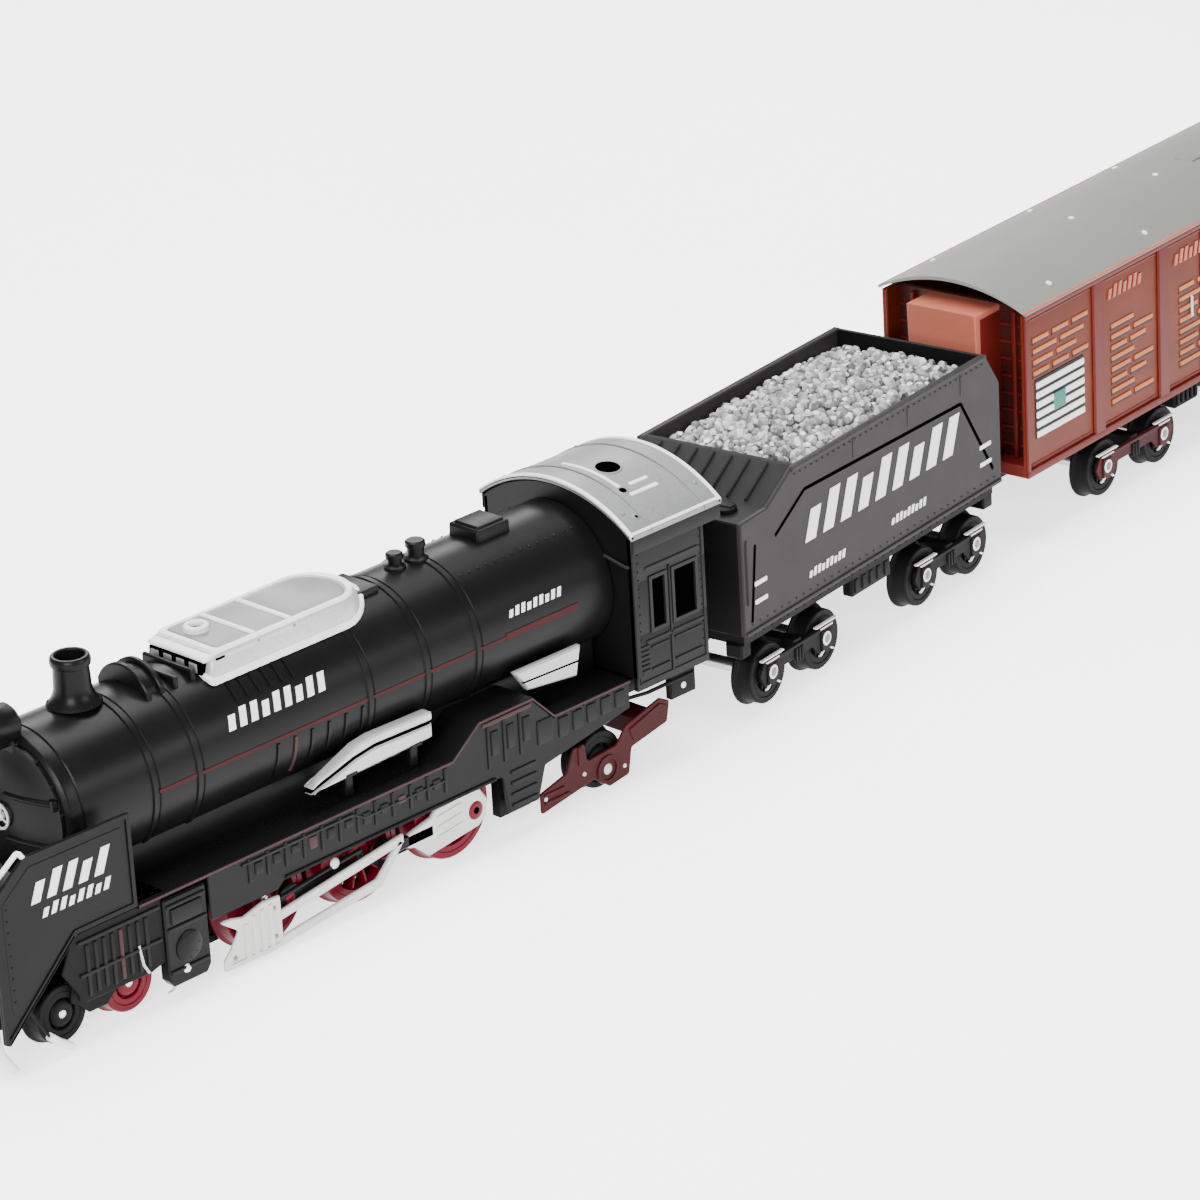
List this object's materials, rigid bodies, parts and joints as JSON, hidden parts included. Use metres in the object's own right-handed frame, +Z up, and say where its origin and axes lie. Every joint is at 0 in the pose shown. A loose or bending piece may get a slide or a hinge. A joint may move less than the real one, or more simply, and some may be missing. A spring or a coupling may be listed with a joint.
{
  "type": "model train",
  "caption": "Battery toy steam locomotive with smoke deflectors and silver dome, coupled to a coal tender and a boxcar, articulated on a gentle curve.",
  "frame": {"origin": "middle of the base of the bounding box of the whole train, at the height of the surface that the wheels stand on", "axes": "+X from the locomotive's front towards the last car, along the locomotive's centreline; +Z up; +Y to the side that the curve bends to. The locomotive lies along X; the tender is turned by 8.65 and the boxcar by 6.4 degrees about Z, as the train stands on a gentle curve"},
  "size_m": [0.493, 0.077, 0.0694],
  "materials": {
    "black_plastic": "satin-gloss injection-moulded black, slightly brown in the light",
    "frame_black": "dull moulded black",
    "red_plastic": "deep crimson moulded plastic, glossy",
    "silver_paint": "pale silver paint over plastic, satin",
    "roof_grey": "light silver-grey paint with a worn white rim",
    "rod_silver": "white-silver paint, satin",
    "clear_lens": "clear, faintly warm",
    "motor_steel": "drawn steel can",
    "nylon_white": "natural nylon",
    "circuit_green": "green solder mask",
    "cell_jacket": "printed cell jacket, plain, no lettering",
    "coal_grey": "light grey moulded coal with silver highlights",
    "tender_grey": "warm dark grey satin plastic",
    "boxcar_red": "red-brown satin plastic",
    "boxcar_roof_grey": "stone grey satin plastic"
  },
  "bodies": {
    "locomotive": {"loco_chassis": "frame_black", "baseplate": "frame_black", "front_beam": "frame_black", "front_coupler": "frame_black", "boiler_shell": "black_plastic", "smokebox_door": "black_plastic", "headlamp_lens": "clear_lens", "chimney": "black_plastic", "dome_cover": "silver_paint", "running_board": "black_plastic", "cab_body": "black_plastic", "cab_roof": "roof_grey", "battery_cell_lower": "cell_jacket", "battery_cell_upper": "cell_jacket", "motor": "motor_steel", "circuit_board": "circuit_green", "speaker": "frame_black", "deflector_left": "black_plastic", "deflector_right": "black_plastic", "cylinder_left": "black_plastic", "cylinder_right": "black_plastic", "crosshead_left": "rod_silver", "crosshead_right": "rod_silver", "air_tank_left": "silver_paint", "air_tank_right": "silver_paint"},
    "battery_door": {"battery_cover": "frame_black"},
    "switch": {"power_switch": "red_plastic"},
    "driver_1": {"driver_wheelset_1": "red_plastic"},
    "driver_2": {"driver_wheelset_2": "red_plastic", "axle_gear": "nylon_white"},
    "driver_3": {"driver_wheelset_3": "red_plastic"},
    "compound": {"compound_gear": "nylon_white"},
    "pinion": {"motor_pinion": "nylon_white"},
    "rod_left": {"coupling_rod_left": "rod_silver"},
    "rod_right": {"coupling_rod_right": "rod_silver"},
    "lead_bogie": {"lead_bogie_frame": "frame_black"},
    "lead_wheels_front": {"lead_wheelset_front": "red_plastic"},
    "lead_wheels_rear": {"lead_wheelset_rear": "red_plastic"},
    "trailing_truck": {"trailing_truck_frame": "red_plastic"},
    "trailing_wheels": {"trailing_wheelset": "red_plastic"},
    "drawbar": {"drawbar": "frame_black"},
    "tender": {"tender_chassis": "frame_black", "tender_body": "tender_grey", "coal_load": "coal_grey"},
    "tender_bogie_front": {"tender_bogie_front": "frame_black"},
    "tender_bogie_rear": {"tender_bogie_rear": "frame_black"},
    "tender_wheels_1": {"tender_wheelset_1": "frame_black"},
    "tender_wheels_2": {"tender_wheelset_2": "frame_black"},
    "tender_wheels_3": {"tender_wheelset_3": "frame_black"},
    "tender_wheels_4": {"tender_wheelset_4": "frame_black"},
    "coupler_link": {"coupler_link": "frame_black"},
    "boxcar": {"boxcar_chassis": "frame_black", "boxcar_body": "boxcar_red", "boxcar_roof": "boxcar_roof_grey"},
    "boxcar_bogie_front": {"boxcar_bogie_front": "frame_black"},
    "boxcar_bogie_rear": {"boxcar_bogie_rear": "frame_black"},
    "boxcar_wheels_1": {"boxcar_wheelset_1": "frame_black"},
    "boxcar_wheels_2": {"boxcar_wheelset_2": "frame_black"},
    "boxcar_wheels_3": {"boxcar_wheelset_3": "frame_black"},
    "boxcar_wheels_4": {"boxcar_wheelset_4": "frame_black"}
  },
  "joints": [
    {"name": "driver_2_spin", "type": "hinge", "parent": "locomotive", "child": "driver_2", "pos_m": [-0.137, -0.01589, 0.0113], "axis": [0, 1, 0], "continuous": true},
    {"name": "driver_1_spin", "type": "hinge", "parent": "locomotive", "child": "driver_1", "pos_m": [-0.163, -0.01589, 0.0113], "axis": [0, 1, 0], "continuous": true},
    {"name": "driver_3_spin", "type": "hinge", "parent": "locomotive", "child": "driver_3", "pos_m": [-0.111, -0.01589, 0.0113], "axis": [0, 1, 0], "continuous": true},
    {"name": "rod_left_pivot", "type": "hinge", "parent": "driver_2", "child": "rod_left", "pos_m": [-0.13169, -0.01589, 0.00988], "axis": [0, 1, 0], "continuous": true},
    {"name": "rod_right_pivot", "type": "hinge", "parent": "driver_2", "child": "rod_right", "pos_m": [-0.13169, -0.01589, 0.00988], "axis": [0, 1, 0], "continuous": true},
    {"name": "compound_spin", "type": "hinge", "parent": "locomotive", "child": "compound", "pos_m": [-0.137, -0.01589, 0.0231], "axis": [0, 1, 0], "continuous": true},
    {"name": "pinion_spin", "type": "hinge", "parent": "locomotive", "child": "pinion", "pos_m": [-0.137, -0.01589, 0.0358], "axis": [0, 1, 0], "continuous": true},
    {"name": "lead_bogie_yaw", "type": "hinge", "parent": "locomotive", "child": "lead_bogie", "pos_m": [-0.2078, -0.01589, 0.007], "axis": [0, 0, 1], "range_deg": [-6, 6]},
    {"name": "lead_wheels_front_spin", "type": "hinge", "parent": "lead_bogie", "child": "lead_wheels_front", "pos_m": [-0.2163, -0.01589, 0.007], "axis": [0, 1, 0], "continuous": true},
    {"name": "lead_wheels_rear_spin", "type": "hinge", "parent": "lead_bogie", "child": "lead_wheels_rear", "pos_m": [-0.1993, -0.01589, 0.007], "axis": [0, 1, 0], "continuous": true},
    {"name": "trailing_truck_yaw", "type": "hinge", "parent": "locomotive", "child": "trailing_truck", "pos_m": [-0.0548, -0.01589, 0.0073], "axis": [0, 0, 1], "range_deg": [-4, 4]},
    {"name": "trailing_wheels_spin", "type": "hinge", "parent": "trailing_truck", "child": "trailing_wheels", "pos_m": [-0.0678, -0.01589, 0.0073], "axis": [0, 1, 0], "continuous": true},
    {"name": "battery_cover_slide", "type": "slide", "parent": "locomotive", "child": "battery_door", "axis": [-1, 0, 0], "range_m": [0, 0.006]},
    {"name": "power_switch_slide", "type": "slide", "parent": "locomotive", "child": "switch", "axis": [1, 0, 0], "range_m": [0, 0.004]},
    {"name": "drawbar_front_pin", "type": "hinge", "parent": "locomotive", "child": "drawbar", "pos_m": [-0.0388, -0.01589, 0.0111], "axis": [0, 0, 1], "range_deg": [-13, 6]},
    {"name": "drawbar_rear_pin", "type": "hinge", "parent": "drawbar", "child": "tender", "pos_m": [-0.01879, -0.01469, 0.0111], "axis": [0, 0, 1], "range_deg": [-15, 5]},
    {"name": "link_front_pin", "type": "hinge", "parent": "tender", "child": "coupler_link", "pos_m": [0.07216, -0.00085, 0.0111], "axis": [0, 0, 1], "range_deg": [-10, 13]},
    {"name": "link_rear_pin", "type": "hinge", "parent": "coupler_link", "child": "boxcar", "pos_m": [0.09247, 0.00176, 0.0111], "axis": [0, 0, 1], "range_deg": [-11, 12]},
    {"name": "tender_bogie_front_yaw", "type": "hinge", "parent": "tender", "child": "tender_bogie_front", "pos_m": [-0.00594, -0.01273, 0.0078], "axis": [0, 0, 1], "range_deg": [-12, 12]},
    {"name": "tender_wheels_1_spin", "type": "hinge", "parent": "tender_bogie_front", "child": "tender_wheels_1", "pos_m": [-0.01632, -0.01431, 0.0078], "axis": [-0.1504, 0.9886, 0], "continuous": true},
    {"name": "tender_wheels_2_spin", "type": "hinge", "parent": "tender_bogie_front", "child": "tender_wheels_2", "pos_m": [0.00444, -0.01115, 0.0078], "axis": [-0.1504, 0.9886, 0], "continuous": true},
    {"name": "tender_bogie_rear_yaw", "type": "hinge", "parent": "tender", "child": "tender_bogie_rear", "pos_m": [0.05535, -0.00341, 0.0078], "axis": [0, 0, 1], "range_deg": [-12, 12]},
    {"name": "tender_wheels_3_spin", "type": "hinge", "parent": "tender_bogie_rear", "child": "tender_wheels_3", "pos_m": [0.04497, -0.00499, 0.0078], "axis": [-0.1504, 0.9886, 0], "continuous": true},
    {"name": "tender_wheels_4_spin", "type": "hinge", "parent": "tender_bogie_rear", "child": "tender_wheels_4", "pos_m": [0.06573, -0.00183, 0.0078], "axis": [-0.1504, 0.9886, 0], "continuous": true},
    {"name": "boxcar_bogie_front_yaw", "type": "hinge", "parent": "boxcar", "child": "boxcar_bogie_front", "pos_m": [0.13421, 0.00644, 0.0078], "axis": [0, 0, 1], "range_deg": [-12, 12]},
    {"name": "boxcar_wheels_1_spin", "type": "hinge", "parent": "boxcar_bogie_front", "child": "boxcar_wheels_1", "pos_m": [0.12199, 0.00507, 0.0078], "axis": [-0.1115, 0.9938, 0], "continuous": true},
    {"name": "boxcar_wheels_2_spin", "type": "hinge", "parent": "boxcar_bogie_front", "child": "boxcar_wheels_2", "pos_m": [0.14643, 0.00781, 0.0078], "axis": [-0.1115, 0.9938, 0], "continuous": true},
    {"name": "boxcar_bogie_rear_yaw", "type": "hinge", "parent": "boxcar", "child": "boxcar_bogie_rear", "pos_m": [0.19185, 0.0129, 0.0078], "axis": [0, 0, 1], "range_deg": [-12, 12]},
    {"name": "boxcar_wheels_3_spin", "type": "hinge", "parent": "boxcar_bogie_rear", "child": "boxcar_wheels_3", "pos_m": [0.17963, 0.01153, 0.0078], "axis": [-0.1115, 0.9938, 0], "continuous": true},
    {"name": "boxcar_wheels_4_spin", "type": "hinge", "parent": "boxcar_bogie_rear", "child": "boxcar_wheels_4", "pos_m": [0.20407, 0.01427, 0.0078], "axis": [-0.1115, 0.9938, 0], "continuous": true}
  ],
  "couplings": [
    {"joint": "driver_1_spin", "follows": "driver_2_spin", "ratio": 1},
    {"joint": "driver_3_spin", "follows": "driver_2_spin", "ratio": 1},
    {"joint": "rod_left_pivot", "follows": "driver_2_spin", "ratio": -1},
    {"joint": "rod_right_pivot", "follows": "driver_2_spin", "ratio": -1},
    {"joint": "compound_spin", "follows": "driver_2_spin", "ratio": -2.25},
    {"joint": "pinion_spin", "follows": "driver_2_spin", "ratio": 5.625}
  ]
}
